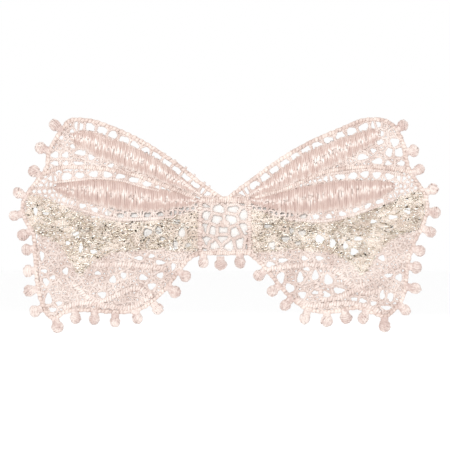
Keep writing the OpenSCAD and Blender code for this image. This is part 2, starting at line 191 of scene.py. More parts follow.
# Single openings: middle, width and height
CORNER_OPENINGS = {
    LEFT: [(-35.5, 22, 1, 1), (-38, 20.5, 1, 1), (-39.5, 16.5, 2, 1.5), (-37, 16.5, 1.5, 1.5),
           (-33.5, 17, 2.5, 1.5), (-31, 16, 1.5, 1.5), (-37, 14.5, 1.5, 1), (-39.5, 14.5, 2, 1),
           (-34, 14.5, 2.5, 1), (-26.5, 14, 1.5, 1), (-35.5, 18.5, 1, 1)],
    RIGHT: [(39.5, 19.5, 2, 2), (36, 19.5, 1.5, 1.5), (34.5, 17.5, 1.5, 1), (38, 17, 1.5, 2),
            (40.5, 17, 2, 2), (32, 16, 2.5, 1.5), (35.5, 15, 2.5, 1.5), (38, 14.5, 1.5, 1),
            (41, 14.5, 2, 1), (36.5, 21.5, 1, 1)]}
BAND_OPENINGS = {
    LEFT: [(-18, -1.5, 2, 2), (-15.5, -1, 1.5, 2), (-10, -1.5, 1.5, 2.5), (-11.5, -4.5, 1, 2.5),
           (-14.5, -3, 1.5, 1), (-8.5, -4.5, 1.5, 1), (-34.5, -2, 1.5, 1.5), (-36.5, -4, 1, 1),
           (-33.5, -5, 1, 2.5), (-30.5, -6, 1.5, 1), (-44, 3.5, 1, 2), (-41.5, 3, 1.5, 1),
           (-11, 1, 1.5, 1)],
    RIGHT: [(10, 0, 2, 1), (15.5, -1, 1, 1.5), (18, -1.5, 2, 1.5), (14, -3, 2, 1.5), (11, -4.5, 1.5, 2),
            (17, -4, 1.5, 1), (22, -3, 2, 2), (25, -4, 1.5, 2), (28, -4.5, 1, 2), (30, -6, 2, 1.5),
            (31, -3, 2, 1), (39, 2, 2, 1), (9, -7, 1.5, 1), (34.5, 1, 1.5, 1), (42.5, 3.5, 1.5, 1.5)]}
NET_OPENINGS = {
    LEFT: [(-44, -2.5, 1, 2.5), (-42.5, -7, 1, 2.5), (-42, -10.5, 1.5, 1), (-41.5, -13, 1.5, 2),
           (-40, -12, 1.5, 1), (-37, -10.5, 1.5, 1.5), (-41, -17, 1.5, 3), (-38.5, -18, 1.5, 1),
           (-40, -19.5, 2, 1), (-28.5, -16, 2, 1.5), (-26, -12.5, 1.5, 2), (-23.5, -11.5, 1.5, 1.5),
           (-19, -12, 2, 1.5), (-17, -14, 2, 1.5), (-15, -11.5, 1.5, 1.5), (-20, -7.5, 2, 1),
           (-17, -7, 1.5, 1), (-15, -8.5, 2.5, 1), (-12, -9.5, 1, 2), (-32.5, -8.5, 1, 2),
           (-29.5, -11, 1.5, 1)],
    RIGHT: [(10.5, -9, 2, 1.5), (13.5, -8, 2.5, 1), (18.5, -7.5, 1.5, 1), (22, -7.5, 2, 1),
            (13, -12, 2, 2.5), (15, -14.5, 2, 2.5), (17.5, -12, 1.5, 2.5), (19, -10, 1.5, 1),
            (21, -11.5, 1.5, 2.5), (24, -12.5, 2, 2.5), (26.5, -15, 2.5, 1.5), (23.5, -16, 2, 1.5),
            (21, -15.5, 1.5, 1), (18, -16, 2, 1.5), (30, -17, 1.5, 1), (32, -17.5, 2, 1),
            (34.5, -18, 1.5, 1), (36.5, -16, 1, 2.5), (38.5, -16.5, 1.5, 2), (37.5, -19, 2.5, 1),
            (40.5, -12, 1.5, 2), (36.5, -7.5, 1.5, 1.5), (38, -11.5, 2, 1)]}
KNOT_OPENINGS = [(-1.5, 4, 2, 1), (2, 4, 2, 1), (-4.5, 2.5, 1.5, 2.5), (-2, 1.5, 2, 1.5),
                 (1.5, 1.5, 2.5, 2), (4.5, 2.5, 1.5, 2.5), (-4.5, -0.5, 1, 2), (-3, -1, 1.5, 2),
                 (2.5, -1.5, 1.5, 2), (4.5, -0.5, 1, 2.5), (-4, -3.5, 1.5, 1), (-0.5, -3, 2, 1),
                 (-2.5, -4.5, 2, 1.5), (1, -4.5, 2, 1.5), (3.5, -4, 1.5, 2.5)]

# Picots: each run's count, and where it begins and ends along the edge, from the top of the knot
PICOT_RUNS = {
    LEFT: [(3, 45, 56.5), (8, 62.5, 94.5), (7, 99.5, 128)],
    RIGHT: [(3, 46.5, 57.5), (8, 62.5, 95), (7, 100, 127.5)]}
PICOT_OUT = 1.5     # from the edge to the middle of the picot
KNOT_PICOTS = [(-5, -8.5), (-1, -9), (3.5, -8.5)]

# Cords laid over the lower net: the hem above the foot and the scallops
NET_CORDS = {
    LEFT: [[(-37.5, -19), (-33, -18), (-28, -18.5), (-22, -19), (-17, -16)],
           [(-35, -13.5), (-32, -16.5), (-28.5, -17.5), (-21, -14.5), (-17, -16)],
           [(-30, -9), (-22, -9), (-13.5, -10)]],
    RIGHT: [[(16.5, -17), (20, -18.5), (28, -18), (32.5, -18.5), (36, -20)],
            [(9, -10), (15, -9.5), (20.5, -9), (25, -10), (28.5, -13), (32, -15.5), (36.5, -15)],
            [(21, -14), (24.5, -17), (29, -15.5), (32.5, -13.5)]]}


# ---- Plane geometry ----

def arc_length(line):
    """How far along the line each of its points is."""
    return np.concatenate([[0], np.cumsum(np.linalg.norm(np.diff(line, axis=0), axis=1))])


def unit(vectors):
    return vectors / np.maximum(np.linalg.norm(vectors, axis=1, keepdims=True), 1e-9)


def even(points, step, closed=False):
    """The same line with its points a step apart."""
    p = np.vstack([points, points[:1]]) if closed else np.asarray(points, float)
    s = arc_length(p)
    count = max(3, int(round(s[-1] / step)) + 1)
    at = np.linspace(0, s[-1], count)
    out = np.stack([np.interp(at, s, p[:, k]) for k in range(p.shape[1])], axis=1)
    return out[:-1] if closed else out


def curve(points, step, closed=False):
    """A smooth line through the points."""
    p = np.asarray(points, float)
    if closed:
        q = np.vstack([p[-1:], p, p[:2]])
    else:
        q = np.vstack([2 * p[:1] - p[1:2], p, 2 * p[-1:] - p[-2:-1]])
    t = np.linspace(0, 1, 14, endpoint=False)[:, None]
    out = [0.5 * (2 * b + (c - a) * t + (2 * a - 5 * b + 4 * c - d) * t**2 + (3 * b - a - 3 * c + d) * t**3)
           for a, b, c, d in zip(q, q[1:], q[2:], q[3:])]
    if not closed:
        out.append(p[-1:])
    return even(np.vstack(out), step, closed)


def normals(line):
    """Unit directions square to a flat line."""
    t = unit(np.gradient(line, axis=0))
    return np.stack([-t[:, 1], t[:, 0]], axis=1)


def depth_inside(polygon, points):
    """How far each point lies inside the polygon, in millimetres; negative outside it."""
    a, b = polygon[None], np.roll(polygon, -1, axis=0)[None]
    p = points[:, None]
    ab = b - a
    t = np.clip(((p - a) * ab).sum(2) / np.maximum((ab * ab).sum(2), 1e-12), 0, 1)
    gap = np.linalg.norm(p - a - ab * t[..., None], axis=2).min(1)
    above = (a[..., 1] > p[..., 1]) != (b[..., 1] > p[..., 1])
    cross = a[..., 0] + (p[..., 1] - a[..., 1]) * ab[..., 0] / np.where(ab[..., 1] == 0, 1e-12, ab[..., 1])
    inside = (above & (p[..., 0] < cross)).sum(1) % 2 == 1
    return np.where(inside, gap, -gap)


def push_out(points, openings, margin):
    """Points moved clear of the openings, each an oval with an uneven rim that its place gives."""
    p = np.array(points, float)
    for x, z, w, h in openings:
        size = np.array([w / 2 + margin, h / 2 + margin])
        q = (p - (x, z)) / size
        around = np.arctan2(q[:, 1], q[:, 0])
        rim = 1 + 0.12 * np.cos(3 * around + 5 * x + 3 * z) + 0.07 * np.cos(2 * around - 7 * x + z)
        r = np.linalg.norm(q, axis=1) / rim
        near = (r < 1) & (r > 1e-6)
        p[near] = (x, z) + q[near] / r[near, None] * size
    return p


def cell_edges(points):
    """The borders of the cells round the points, each as its two ends."""
    verts, _, faces, *_ = geometry.delaunay_2d_cdt([Vector(p) for p in points], [], [], 0, 1e-6)
    v = np.array([tuple(x) for x in verts])
    a, b, c = (v[[f[k] for f in faces]] for k in range(3))
    # The middle of the circle through each triangle's corners, from each corner and the side facing it
    pairs = [(p, np.column_stack([q[:, 1], -q[:, 0]])) for p, q in ((a, b - c), (b, c - a), (c, a - b))]
    d = 2 * sum(p[:, 0] * q[:, 0] for p, q in pairs)
    d = np.where(np.abs(d) < 1e-9, 1e-9, d)
    middle = sum((p * p).sum(1)[:, None] * q for p, q in pairs) / d[:, None]
    beside = {}
    for i, f in enumerate(faces):
        for j in range(3):
            beside.setdefault(frozenset((f[j], f[j - 1])), []).append(i)
    return [(middle[s[0]], middle[s[1]]) for s in beside.values() if len(s) == 2]


def fill_points(box, spacing, jitter):
    """A loose grid of points in rows, each row half a step along, so that they stand in even triangles."""
    row_step = 0.87 * spacing
    low, high = box
    out = np.array([(x, z) for i, z in enumerate(np.arange(low[1], high[1], row_step))
                    for x in np.arange(low[0] + i % 2 * spacing / 2, high[0], spacing)])
    return out + random.uniform(-jitter, jitter, out.shape) * spacing


# ---- Thread geometry ----

def drape(x, z):
    """The lace isn't quite flat. Its wings lean back and ripple a little, and the knot holds it flat."""
    tip_lean, wide_ripple, fine_ripple = 0.8, 0.16, 0.1
    lean = tip_lean * np.clip((np.abs(x) - 20) / 28, 0, 1) ** 2
    ripple = wide_ripple * np.sin(0.19 * x + 0.13 * z) + fine_ripple * np.sin(0.11 * x - 0.29 * z)
    return lean + ripple * np.clip((np.abs(x) - 7) / 10, 0, 1)


def upright(line, y=0.0):
    """A flat line as points in space, y deep."""
    return np.stack([line[:, 0], np.broadcast_to(y, len(line)), line[:, 1]], axis=1)


def wander(at, size, spacing=1.0):
    """A smooth random drift along a line."""
    knots = np.arange(at.min() - spacing, at.max() + 2 * spacing, spacing)
    return np.interp(at, knots, random.uniform(-size, size, len(knots)))


class Threads:
    """Swept threads that are gathered into one mesh."""

    def __init__(self):
        self.verts, self.faces, self.tones, self.count = [], [], [], 0

    def sweep(self, path, up, r_up, r_side, sides, closed=False, tone=0.5):
        """A thread along path, with a half thickness of r_up towards up and r_side across it.
        Its painted light goes from 0, deep painted shade, to 1, pale painted sheen."""
        p = np.asarray(path, float)
        n = len(p)
        up = np.broadcast_to(np.asarray(up, float), p.shape)
        t = (np.roll(p, -1, axis=0) - np.roll(p, 1, axis=0)) if closed else np.gradient(p, axis=0)
        side = unit(np.cross(t, up))
        out = unit(np.cross(side, t))
        angle = np.arange(sides) * TAU / sides
        r_up, r_side = (np.broadcast_to(r, n)[:, None, None] for r in (r_up, r_side))
        ring = (out[:, None] * np.cos(angle)[None, :, None] * r_up
                + side[:, None] * np.sin(angle)[None, :, None] * r_side)
        start = self.count
        self.verts.append((p[:, None] + ring).reshape(-1, 3))
        self.tones.append(np.repeat(np.broadcast_to(tone, n), sides))
        self.count += n * sides
        i = np.arange(n if closed else n - 1)[:, None] * sides
        j = np.arange(sides)[None]
        k = (j + 1) % sides
        following = (i + sides) % (n * sides)
        quads = np.stack([i + j, i + k, following + k, following + j], axis=-1).reshape(-1, 4) + start
        self.faces += quads.tolist()
        if not closed:
            self.faces.append([start + m for m in reversed(range(sides))])
            self.faces.append([start + (n - 1) * sides + m for m in range(sides)])

    def strand(self, line, ply=2, spread=0.13, r=0.17, twist=1.5, y=0.0):
        """Threads twisted round each other along a flat line."""
        s = arc_length(line)
        side = normals(line)
        begin = random.uniform(0, TAU)
        for k in range(ply):
            angle = begin + TAU * (k / ply + s / twist)
            flat = line + side * (spread * np.cos(angle))[:, None]
            self.sweep(upright(flat, y + spread * np.sin(angle)), (0, -1, 0), r, r, 5)

    def wrapped_cord(self, line, width, thick, pitch=0.5, y=0.0, knots=0.07, r=0.21):
        """A core with a thread of radius r wound closely round it, thicker and thinner along its way."""
        bulge = 1.9             # from one thick place to the next
        pressed = r * 0.7       # the wound thread lies flattened on the core
        overlap = 0.54          # half its width, as a share of the pitch
        s = arc_length(line)
        turns = max(2, int(s[-1] / pitch))
        at = np.linspace(0, s[-1], turns * 10)
        centre = np.stack([np.interp(at, s, line[:, k]) for k in range(2)], axis=1)
        side = normals(centre)
        swell = 1 + knots * np.sin(at * TAU / bulge + wander(at, 1.5, 4)) + wander(at, 0.08, pitch)
        slip = wander(at, 0.07, pitch / 2)
        angle = TAU * at / pitch
        across = (width / 2 - pressed) * swell * np.cos(angle)
        deep = y + (thick / 2 - pressed) * swell * np.sin(angle)
        along = np.stack([side[:, 1], -side[:, 0]], axis=1)
        flat = centre + side * across[:, None] + along * slip[:, None]
        out = upright(side * np.cos(angle)[:, None], np.sin(angle))
        self.sweep(upright(flat, deep), out, pressed, pitch * overlap, 6)
        self.sweep(upright(line, y), (0, -1, 0), thick / 2 - r, width / 2 - r, 8)

    def build(self, name, nodes, slot, material):
        """The threads as one draped piece of lace, with their painted light and shade for its material."""
        v = np.vstack(self.verts)
        v[:, 1] += LACE_Y + drape(v[:, 0], v[:, 2])
        piece = built(name, v, self.faces, nodes, material)
        # The painted shade and painted sheen of each point, which the satin material turns into colour
        tone = piece.data.attributes.new("tone", "FLOAT", "POINT")
        tone.data.foreach_set("value", np.concatenate(self.tones))
        return piece


def built(name, verts, faces, nodes, material, body="bow"):
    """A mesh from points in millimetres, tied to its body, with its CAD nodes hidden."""
    mesh = bpy.data.meshes.new(name)
    mesh.from_pydata((np.asarray(verts) * MM).tolist(), [], faces)
    mesh.polygons.foreach_set("use_smooth", [True] * len(mesh.polygons))
    mesh.materials.append(material)
    obj = add_object(name, mesh)
    if body:
        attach(obj, body)
    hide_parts(*nodes)
    return obj


SATIN_PITCH = 0.42
SATIN_R = 0.16              # half the thickness of a flattened stitch
SATIN_OVERLAP, BACK_OVERLAP = 0.68, 0.58    # half a stitch's width, as a share of the pitch
CROWN_POWER, BACK_POWER = 1.9, 2.6          # how square a leaf's front and back are: 2 is an ellipse
PADDING_GAP = 0.34          # from the face of a leaf to its padding
FULL_AT = 1.7               # half length from which a stitch is at its full height


def spans(ring, along, up):
    """Where stitches cross a closed outline: each one's place along it, middle and half length."""
    u, v = ring @ along, ring @ up
    u_next, v_next = np.roll(u, -1), np.roll(v, -1)
    places = np.arange(u.min() + 0.2, u.max() - 0.15, SATIN_PITCH)
    ends = []
    for at in places:
        hit = (u > at) != (u_next > at)
        cross = v[hit] + (at - u[hit]) / (u_next[hit] - u[hit]) * (v_next[hit] - v[hit])
        ends.append((cross.min(), cross.max()))
    lows, highs = np.array(ends).T
    return places, (highs + lows) / 2, (highs - lows) / 2


def satin_painted_light(t, row, depth):
    """Painted light along a stitch, from the rim to the seam: painted shade on the flank, and a paler
    painted sheen at the rim, wider on the lower row, and at the seam."""
    # The flank gets painted shade at the level depth, varied at random; past opens and within rim of the
    # edge it gets a painted sheen, up to 0.52 paler
    opens = 0.66 + random.uniform(-0.2, 0.17)
    rim = random.uniform(0.08, 0.2) if row > 0 else random.uniform(0.2, 0.42)
    pale = np.maximum(np.clip((t - opens) / 0.22, 0, 1), np.clip(1 - t / rim, 0, 1))
    return depth + random.uniform(-0.11, 0.11) + 0.52 * pale


def satin(threads, outline, tilt, thick, depth=0.35):
    """Satin stitches over padding, leaning by tilt from upright, in two rows that meet along the middle.
    The painted shade on the flanks is given by depth."""
    up = np.array([math.sin(tilt), math.cos(tilt)])
    along = np.array([math.cos(tilt), -math.sin(tilt)])
    stations, middle, half = spans(curve(outline, closed=True, step=0.25), along, up)
    count = len(stations)
    full = np.clip(half / FULL_AT, 0.3, 1) ** 0.7
    seam = wander(stations, 0.12, 4) + 0.05
    for row in (-1, 1):
        ends = seam + random.uniform(-0.36, 0.24, count) * row
        teeth = 1 + random.uniform(-0.05, 0.32, count) / np.maximum(half, 0.8)
        slopes = random.uniform(-0.25, 0.25, count)
        lifts = random.uniform(-0.05, 0.05, count)
        stitches = zip(stations, half, middle, full, ends, teeth, slopes, lifts)
        for at, h, m, f, end, tooth, slope, lift in stitches:
            # From under the rim, over it, and down into the padding at the seam
            t = np.linspace(0, 1, 14)
            reach = row * tooth + (end - row * tooth) * t
            crown = np.sqrt(np.clip(1 - np.abs(reach / tooth) ** CROWN_POWER, 0, 1))
            sink = 0.12 * np.clip(h - 0.8, 0, 1) * np.clip((t - 0.85) / 0.15, 0, 1) ** 2
            # Painted light at each point: a pale painted sheen where the stitch comes out from under the
            # rim, then painted shade and sheen along it
            tone = np.concatenate([[0.8], satin_painted_light(t, row, depth)])
            deep = -(crown * (thick / 2 - 0.12 + lift) - sink) * f
            deep = np.concatenate([[0.25 * f], deep])
            reach = np.concatenate([reach[:1] * 0.94, reach])
            shift = at + slope * (reach - row) * 0.5
            flat = shift[:, None] * along + (m + h * reach)[:, None] * up
            threads.sweep(upright(flat, deep), (0, -1, 0), SATIN_R, SATIN_PITCH * SATIN_OVERLAP, 6,
                          tone=tone)
    # The same stitches seen from the back, flatter
    back = np.linspace(-1, 1, 12)
    for at, h, m, f, lift in zip(stations, half, middle, full, lifts):
        flat = (at + 0.5 * SATIN_PITCH * back)[:, None] * along + (m + h * back)[:, None] * up
        deep = np.sqrt(np.clip(1 - np.abs(back) ** BACK_POWER, 0, 1)) * (thick / 2 - 0.2 + lift) * f
        threads.sweep(upright(flat, deep), (0, 1, 0), SATIN_R, SATIN_PITCH * BACK_OVERLAP, 6)
    mids = stations[:, None] * along + middle[:, None] * up
    padding = (thick / 2 - PADDING_GAP) * full
    threads.sweep(upright(mids), (0, -1, 0), padding, np.maximum(half - 0.15, 0.05), 12)


BAR_LENGTHS = 0.12, 6       # shorter and longer cell borders than these get no bar
BAR_OVERRUN = 0.25          # how far a bar may run past the area's edge


def net(threads, openings, allowed, box, spacing, margin=0.2, border=1.2, **strand):
    """A net of bars with an open cell at each opening and small cells in the rest of the area, where
    allowed() is positive. Cells up to a border outside it shape the bars at its edge."""
    grid = fill_points(box, spacing, 0.3)
    keep = allowed(grid) > -border
    for x, z, w, h in openings:
        clear = (grid - (x, z)) / ((w + spacing) / 2, (h + spacing) / 2)
        keep &= np.hypot(clear[:, 0], clear[:, 1]) > 1
    middles = np.array([o[:2] for o in openings]).reshape(-1, 2)
    for a, b in cell_edges(np.vstack([middles, grid[keep]])):
        length = np.linalg.norm(b - a)
        if not BAR_LENGTHS[0] < length < BAR_LENGTHS[1]:
            continue
        line = even(np.stack([a, b]), 0.28)
        inside = allowed(line) > -BAR_OVERRUN
        if inside.sum() < 3:
            continue
        first, last = np.flatnonzero(inside)[[0, -1]]
        line = push_out(line[first:last + 1], openings, margin)
        threads.strand(line, **strand)


def double_net(threads, openings, allowed, box, spacing):
    """Stout bars over a fine mesh, with the same openings in both."""
    net(threads, openings, allowed, box, spacing, y=-0.12, ply=3, spread=0.17, r=0.16)
    net(threads, openings, allowed, box, 0.54 * spacing, y=0.17, margin=0.25, spread=0.15, r=0.2)


def offset(line, distance):
    """The line moved sideways, to its left for a positive distance."""
    return line + normals(line) * distance


def ladder(threads, line, count, opening, height, rail, rail_width):
    """Bars between the openings of a ladder, and a cord beside them at the distance rail. Gives back the
    openings, each with the width and height in opening."""
    overrun = 0.6       # how far a bar runs on past the openings
    path = curve(line, step=0.2)
    end = len(path) - 1
    side = normals(path)
    for k in np.linspace(-0.5, count - 0.5, count + 1) / (count - 1) * end:
        i = int(np.clip(round(k), 0, end))
        half_bar = side[i] * (height / 2 + overrun)
        bar = np.stack([path[i] - half_bar, path[i] + half_bar])
        bar += random.uniform(-0.14, 0.14, (2, 2))
        threads.strand(even(bar, 0.25), ply=3, spread=0.17, r=0.16, twist=1.6)
    threads.wrapped_cord(offset(path, rail), rail_width, 0.9, 0.46, y=-0.15)
    return [(*path[i], *opening) for i in np.linspace(0, end, count).round().astype(int)]


def picot(threads, place, root):
    """A bobble of thread wound over itself at different slants, with three turns round its neck."""
    inwards = (root - place) / np.linalg.norm(root - place)
    across = np.array([inwards[1], -inwards[0]])
    axes = np.array([[across[0], 0, across[1]], [0, 1, 0], [inwards[0], 0, inwards[1]]])
    size = np.array([random.uniform(0.84, 1.1), 0.62, random.uniform(0.86, 1.08)]) * PICOT_D / 2
    turn = np.linspace(0, TAU, 20, endpoint=False)
    # Each layer is a set of turns side by side, square to one slant
    for layer, slant in enumerate(random.uniform(0, math.pi) + np.array([0, 1.0, 2.1])):
        tilt = random.uniform(-0.35, 0.35)
        level = math.cos(tilt)
        square = np.array([math.cos(slant) * level, math.sin(tilt), math.sin(slant) * level])
        first = np.cross(square, (0.1, 1, 0.2))
        first /= np.linalg.norm(first)
        second = np.cross(square, first)
        for shift in np.linspace(-0.84, 0.84, 6) + random.uniform(-0.1, 0.1, 6):
            uneven = random.uniform(-0.13, 0.1) * np.cos(turn + random.uniform(0, TAU))
            r = (math.sqrt(1 - shift**2) * (1 + uneven))[:, None]
            ball = square * shift + r * (np.cos(turn)[:, None] * first + np.sin(turn)[:, None] * second)
            path = (ball * size * (0.84 + 0.05 * layer)) @ axes
            path[:, [0, 2]] += place
            threads.sweep(path, ball @ axes, 0.14, 0.27, 5, closed=True)
    neck = np.cos(turn)[:, None] * across
    for out in (0.85, 1.1, 1.35):
        flat = place + inwards * size[2] * out + neck * 0.8
        threads.sweep(upright(flat, 0.55 * np.sin(turn)), upright(neck, np.sin(turn)), 0.17, 0.24, 6,
                      closed=True)


# ---- Materials ----

def set_input(tree, socket, value):
    """Sets an input of a node from a value or from an output of another node."""
    if isinstance(value, bpy.types.NodeSocket):
        tree.links.new(value, socket)
    else:
        socket.default_value = value


def add_node(tree, kind, output, **inputs):
    node = tree.nodes.new("ShaderNode" + kind)
    for key, value in inputs.items():
        set_input(tree, node.inputs[key.replace("_", " ")], value)
    return node.outputs[output]


def node_material(name, roughness, **inputs):
    material = bpy.data.materials.new(name)
    material.use_nodes = True
    shader = material.node_tree.nodes["Principled BSDF"]
    shader.inputs["Roughness"].default_value = roughness
    for key, value in inputs.items():
        shader.inputs[key.replace("_", " ")].default_value = value
    return material, material.node_tree, shader


def object_place(tree, stretch=(1, 1, 1)):
    """Object coordinates in metres, stretched along each axis."""
    return add_node(tree, "Mapping", "Vector", Scale=stretch, Vector=add_node(tree, "TexCoord", "Object"))


def noise_of(tree, vector, scale, detail=4):
    return add_node(tree, "TexNoise", "Fac", Scale=scale, Detail=detail, Vector=vector)


def colour_by(tree, shader, factor, stops, stepped=False):
    ramp = tree.nodes.new("ShaderNodeValToRGB")
    elements = ramp.color_ramp.elements
    while len(elements) < len(stops):
        elements.new(0.5)
    for element, (position, colour) in zip(elements, stops):
        element.position = position
        element.color = (*colour, 1)
    if stepped:
        ramp.color_ramp.interpolation = "CONSTANT"
    tree.links.new(factor, ramp.inputs["Fac"])
    tree.links.new(ramp.outputs["Color"], shader.inputs["Base Color"])


def bump_from(tree, shader, height, strength, distance):
    bump = add_node(tree, "Bump", "Normal", Strength=strength, Distance=distance, Height=height)
    tree.links.new(bump, shader.inputs["Normal"])


def math_of(tree, operation, *values):
    node = tree.nodes.new("ShaderNodeMath")
    node.operation = operation
    for socket, value in zip(node.inputs, values):
        set_input(tree, socket, value)
    return node.outputs[0]


# Scales of the noise in thread, from patches down to fibres, and of the facets in foil
PATCH_SCALE, DRIFT_SCALE, FIBRE_SCALE = 230, 1400, 9000
FACET_SCALE = 2600


def fibre_bump(tree, shader, place):
    bump_from(tree, shader, noise_of(tree, place, FIBRE_SCALE, 3), 0.35, 0.00003)


def satin_material(name):
    """Glossy floss whose colour carries painted light: painted shade on the stitches' flanks, painted sheen
    where they are pale.
    """
    material, tree, shader = node_material(name, 0.32, Sheen_Weight=0.2, Sheen_Roughness=0.4,
                                           Specular_IOR_Level=0.8)
    # The painted light attribute, with a little random drift, picks the colour from deep painted shade to
    # pale painted sheen
    tone = tree.nodes.new("ShaderNodeAttribute")
    tone.attribute_name = "tone"
    place = object_place(tree, (1, 1, 0.25))
    drift = math_of(tree, "SUBTRACT", noise_of(tree, place, DRIFT_SCALE, 3), 0.5)
    factor = math_of(tree, "ADD", tone.outputs["Fac"], drift)
    stops = [(0, (0.46, 0.32, 0.28)), (0.35, (0.56, 0.42, 0.37)), (0.7, (0.68, 0.57, 0.52)),
             (1, (0.80, 0.73, 0.69))]
    colour_by(tree, shader, factor, stops)
    fibre_bump(tree, shader, place)
    return material


def thread_material(name, dark, light):
    """Lustrous thread: its colour drifts from strand to strand and in patches a few millimetres wide."""
    material, tree, shader = node_material(name, 0.45, Sheen_Weight=0.3, Sheen_Roughness=0.4)
    place = object_place(tree)
    patches = math_of(tree, "SUBTRACT", noise_of(tree, place, PATCH_SCALE, 2), 0.5)
    drift = math_of(tree, "ADD", noise_of(tree, place, DRIFT_SCALE, 3), patches)
    colour_by(tree, shader, drift, [(0.33, dark), (0.66, light)])
    fibre_bump(tree, shader, place)
    return material


SATIN = satin_material("satin_thread")
CORD = thread_material("cord_thread", (0.58, 0.45, 0.40), (0.78, 0.67, 0.61))
NET = thread_material("net_thread", (0.64, 0.52, 0.47), (0.79, 0.69, 0.64))
BOBBLE = thread_material("picot_thread", (0.56, 0.43, 0.39), (0.76, 0.66, 0.61))
BAND_NET = thread_material("band_thread", (0.66, 0.55, 0.47), (0.90, 0.81, 0.73))
STITCH = thread_material("stitch_thread", (0.62, 0.48, 0.43), (0.80, 0.68, 0.62))


def metallic_material(name):
    """Champagne foil on thread: most facets pale or beige, a few dark, and a few very bright ones that are
    painted glints.
    """
    material, tree, shader = node_material(name, 0.3, Metallic=0.75)
    cells = add_node(tree, "TexVoronoi", "Color", Scale=FACET_SCALE, Vector=object_place(tree))
    chance = add_node(tree, "SeparateColor", "Red", Color=cells)
    # The brightest facets are painted glints; the others are the foil's own colours, at random
    facets = [(0.0, (0.05, 0.035, 0.025)), (0.045, (0.46, 0.37, 0.28)), (0.25, (0.70, 0.61, 0.50)),
              (0.55, (0.87, 0.80, 0.71)), (0.82, (1.0, 0.97, 0.92))]
    colour_by(tree, shader, chance, facets, stepped=True)
    bump_from(tree, shader, noise_of(tree, object_place(tree), 6000), 0.5, 0.00005)
    return material


LUREX = metallic_material("metallic_thread")


# ---- Lace: the wings ----

def above(line, points):
    """How far the points lie above a dividing line, in z."""
    line = np.asarray(sorted(line), float)
    return points[:, 1] - np.interp(points[:, 0], line[:, 0], line[:, 1])


def knot_depth(points):
    return np.minimum(KNOT_X - np.abs(points[:, 0]),
                      np.minimum(KNOT_TOP - points[:, 1], points[:, 1] - KNOT_BOTTOM))


def picot_roots(w):
    """Where the picots of a wing stand on its edge, and which way is out."""
    path = curve(EDGE[w], step=0.2)
    distance = arc_length(path)
    outwards = normals(path) * (-1 if w == LEFT else 1)
    for count, begin, end in PICOT_RUNS[w]:
        for i in range(count):
            s = begin + (end - begin) * i / (count - 1) + random.uniform(-0.25, 0.25)
            k = np.searchsorted(distance, s)
            yield path[k], outwards[k]


